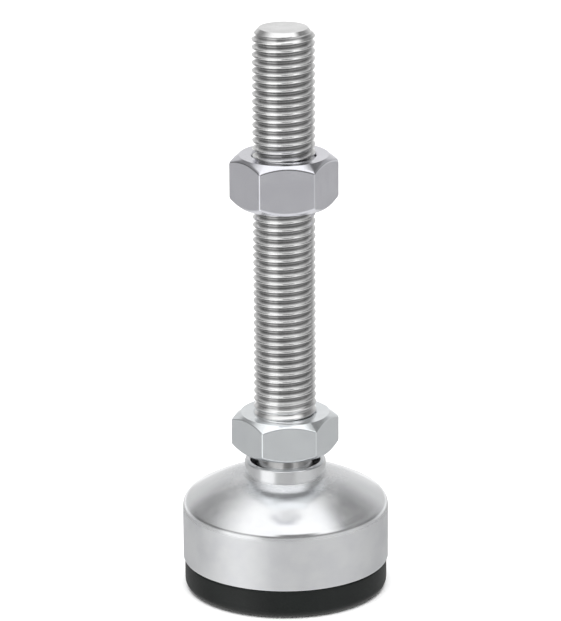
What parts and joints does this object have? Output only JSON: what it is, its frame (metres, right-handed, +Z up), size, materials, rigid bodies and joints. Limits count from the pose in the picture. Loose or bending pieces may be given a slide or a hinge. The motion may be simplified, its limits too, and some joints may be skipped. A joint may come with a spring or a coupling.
{
  "type": "furniture leveling foot",
  "caption": "Swivel leveling foot: turned round base on a rubber pad, ball-ended threaded spindle, thin wrench nut above the base and a hexagon lock nut that runs along the thread.",
  "frame": {"origin": "on the floor, on the base's axis", "axes": "+Z up along the upright spindle, X and Y across the base"},
  "size_m": [0.0528, 0.0528, 0.1474],
  "materials": {
    "base_metal": "turned and bright plated, fine turning lines",
    "spindle_metal": "rolled thread, bright plated",
    "nut_metal": "bright plated, satin flats",
    "pad_rubber": "matte moulded",
    "liner_plastic": "plain moulded",
    "inner_steel": "plain oiled steel"
  },
  "bodies": {
    "base": {"base_body": "base_metal", "rubber_pad": "pad_rubber", "thrust_disc": "inner_steel", "retaining_ring": "inner_steel"},
    "upper_seat": {"upper_liner": "liner_plastic"},
    "lower_seat": {"lower_liner": "liner_plastic"},
    "spindle": {"threaded_spindle": "spindle_metal", "lower_hex_nut": "nut_metal"},
    "nut": {"lock_nut": "nut_metal"}
  },
  "joints": [
    {"name": "tilt_x", "type": "hinge", "parent": "base", "child": "upper_seat", "pos_m": [0, 0, 0.0204], "axis": [1, 0, 0], "range_deg": [-4.5, 4.5]},
    {"name": "tilt_y", "type": "hinge", "parent": "upper_seat", "child": "lower_seat", "pos_m": [0, 0, 0.0204], "axis": [0, 1, 0], "range_deg": [-4.5, 4.5]},
    {"name": "spin", "type": "hinge", "parent": "lower_seat", "child": "spindle", "pos_m": [0, 0, 0.0204], "axis": [0, 0, 1], "continuous": true},
    {"name": "nut_travel", "type": "slide", "parent": "spindle", "child": "nut", "axis": [0, 0, 1], "range_m": [-0.0549, 0.0306]}
  ]
}
